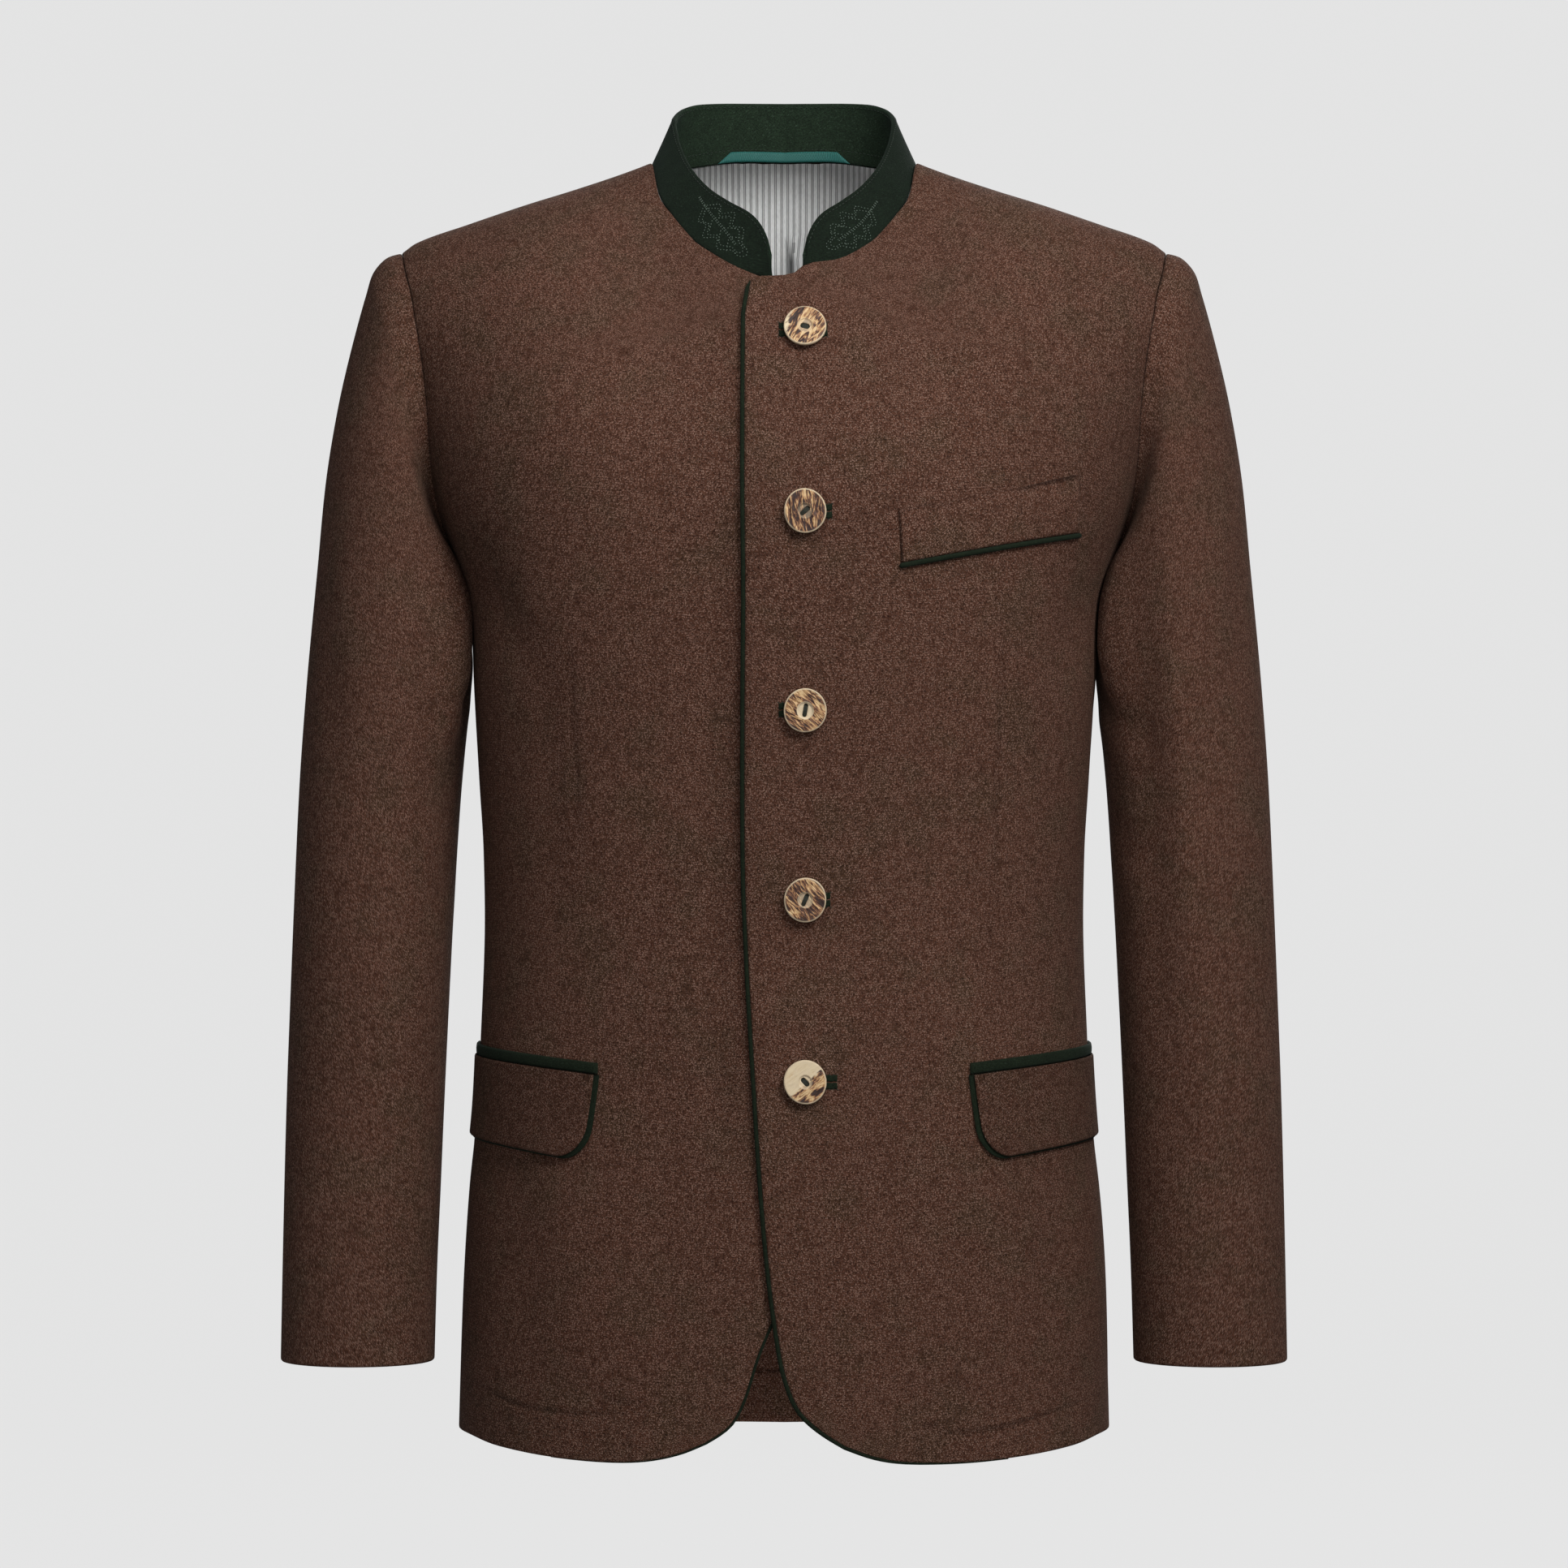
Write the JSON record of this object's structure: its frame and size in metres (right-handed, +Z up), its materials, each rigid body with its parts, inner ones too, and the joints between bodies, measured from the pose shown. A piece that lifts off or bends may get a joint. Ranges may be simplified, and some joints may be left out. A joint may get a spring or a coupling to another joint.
{
  "type": "tyrolean loden jacket",
  "caption": "Hollow buttoned wool jacket with stand collar, green piping, flap pockets, slanted chest welt and horn buttons, filled out as worn",
  "frame": {"origin": "where the wearer's shoulders carry the jacket, midway between the two neck points of the shoulder seams", "axes": "+Z up, -Y out of the front, +X towards the wearer's left sleeve"},
  "size_m": [0.5846, 0.2813, 0.7942],
  "materials": {
    "loden_brown": "fulled melange wool, matt, fine beige fibres",
    "felt_green": "dark green wool felt, matt",
    "loop_teal": "satin ribbon, slight sheen",
    "lining_striped": "smooth woven stripe, slight sheen",
    "horn": "sawn antler, bark streaks, satin rim"
  },
  "bodies": {
    "root": {"front_left": "loden_brown", "front_right": "loden_brown", "back": "loden_brown", "sleeve_left_top": "loden_brown", "sleeve_left_under": "loden_brown", "sleeve_right_top": "loden_brown", "sleeve_right_under": "loden_brown", "collar": "felt_green", "hanger_loop": "loop_teal", "back_lining": "lining_striped", "front_piping_left": "felt_green", "front_piping_right": "felt_green", "chest_welt": "loden_brown", "chest_piping": "felt_green", "pocket_welt_left": "felt_green", "pocket_welt_right": "felt_green", "pocket_flap_left": "loden_brown", "pocket_flap_right": "loden_brown", "flap_facing_left": "felt_green", "flap_facing_right": "felt_green", "button_1": "horn", "button_2": "horn", "button_3": "horn", "button_4": "horn", "button_5": "horn"}
  },
  "joints": []
}
